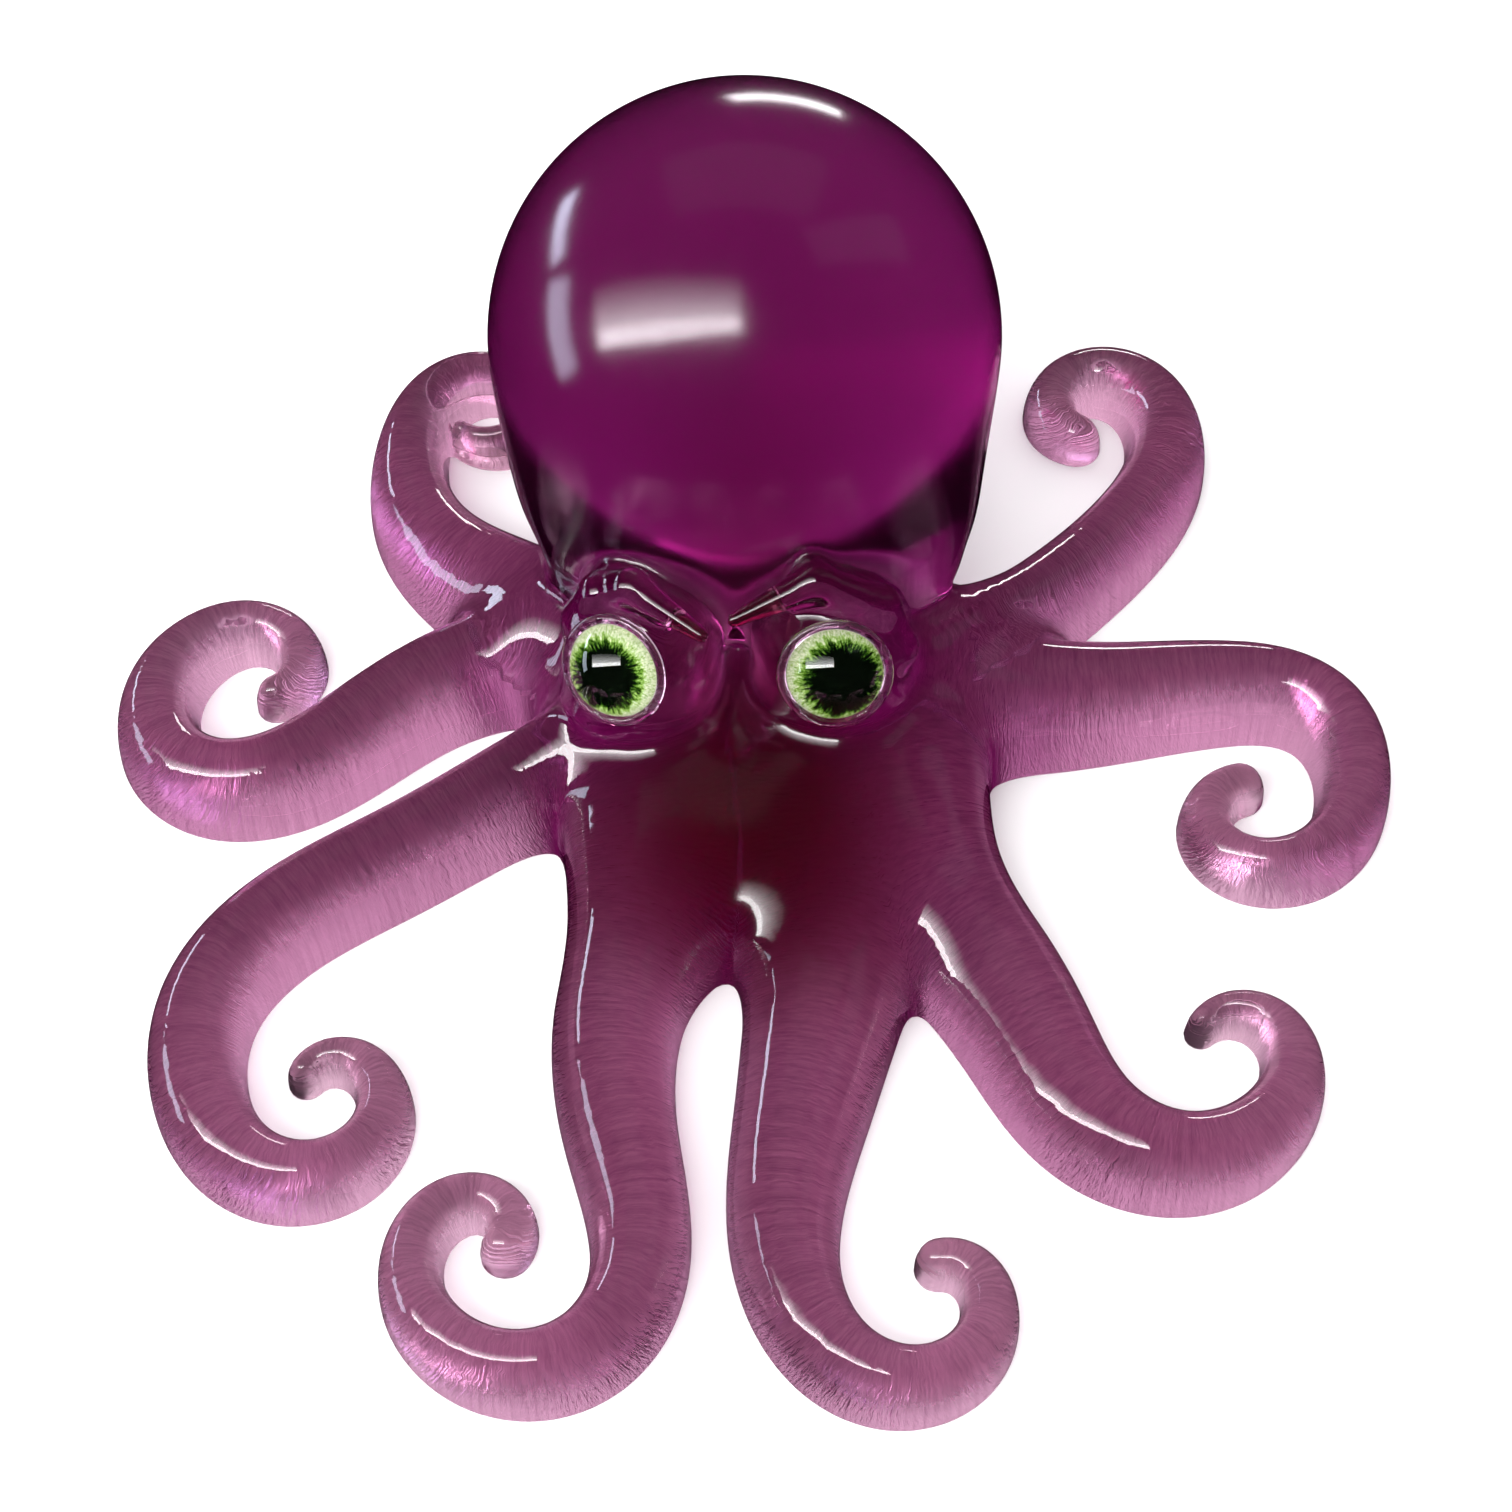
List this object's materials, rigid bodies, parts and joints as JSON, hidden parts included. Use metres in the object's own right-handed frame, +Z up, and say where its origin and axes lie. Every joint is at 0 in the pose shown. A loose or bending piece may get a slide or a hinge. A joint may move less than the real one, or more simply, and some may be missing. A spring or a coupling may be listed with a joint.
{
  "type": "octopus ornament",
  "caption": "Octopus desk ornament cast in clear plum resin, with curled arms and glued-in domed glass eyes.",
  "frame": {"origin": "middle of the outline the octopus covers on the table, at table level", "axes": "+Z up, the octopus faces -Y, +X is to the right for someone it faces"},
  "size_m": [0.1387, 0.1371, 0.0601],
  "materials": {
    "resin": "clear, polished as cast",
    "glass": "polished",
    "print": "matt print",
    "glue": "clear, set from liquid"
  },
  "bodies": {
    "root": {"head_and_web": "resin", "arm_back_left": "resin", "arm_left": "resin", "arm_front_left": "resin", "arm_centre_left": "resin", "arm_centre_right": "resin", "arm_front_right": "resin", "arm_right": "resin", "arm_back_right": "resin", "left_eye_glass": "glass", "left_iris_print": "print", "left_eye_glue": "glue", "right_eye_glass": "glass", "right_iris_print": "print", "right_eye_glue": "glue"}
  },
  "joints": []
}
